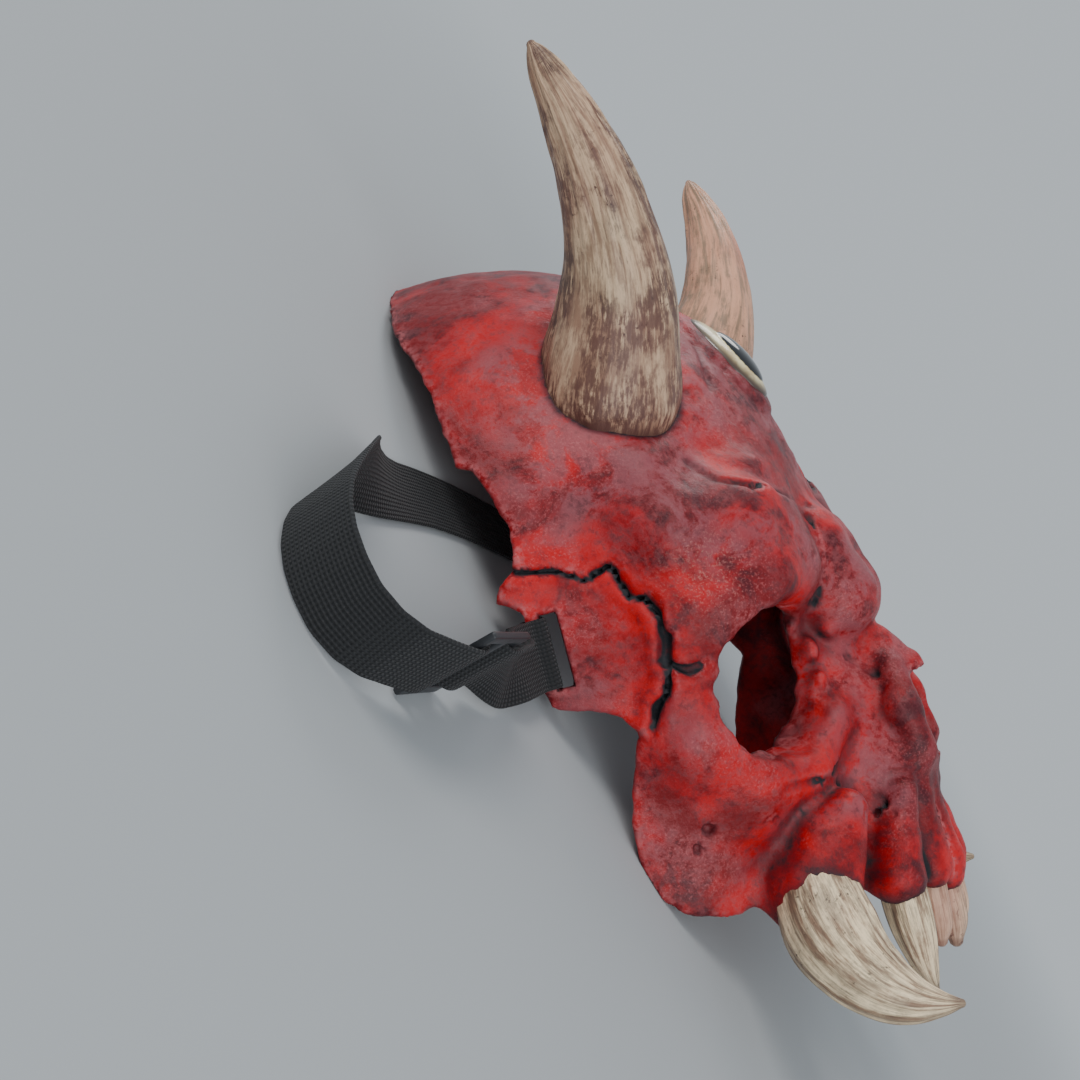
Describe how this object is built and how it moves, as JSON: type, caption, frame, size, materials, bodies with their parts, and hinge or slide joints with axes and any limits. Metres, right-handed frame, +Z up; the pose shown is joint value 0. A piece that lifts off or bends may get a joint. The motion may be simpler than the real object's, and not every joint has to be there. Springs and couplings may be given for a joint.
{
  "type": "oni mask",
  "caption": "Red oni skull half mask with horns, a third eye, tusks and teeth, open eye sockets and an elastic head strap, lying face up on its rim.",
  "frame": {"origin": "centre of the flat patch under the crown's rim, on which the mask rests", "axes": "+X to the mask's own left, +Y from the teeth to the crown, +Z up out of the face as the mask lies on its rim"},
  "size_m": [0.2483, 0.2435, 0.0815],
  "materials": {
    "red_paint": "satin red paint on cast resin, dark wash in the creases and paler dry-brushed edges",
    "ivory": "aged ivory paint with lengthwise dark streaks",
    "eye": "glossy cream with a black pupil",
    "webbing": "black ribbed elastic webbing",
    "plastic": "black moulded plastic"
  },
  "bodies": {
    "root": {"mask_body": "red_paint", "horn_left": "ivory", "horn_right": "ivory", "tusk_left": "ivory", "tusk_right": "ivory", "canine_left": "ivory", "canine_right": "ivory", "lateral_incisor_left": "ivory", "lateral_incisor_right": "ivory", "central_incisor_left": "ivory", "central_incisor_right": "ivory", "third_eye": "eye", "head_strap": "webbing", "strap_slider": "plastic"}
  },
  "joints": []
}
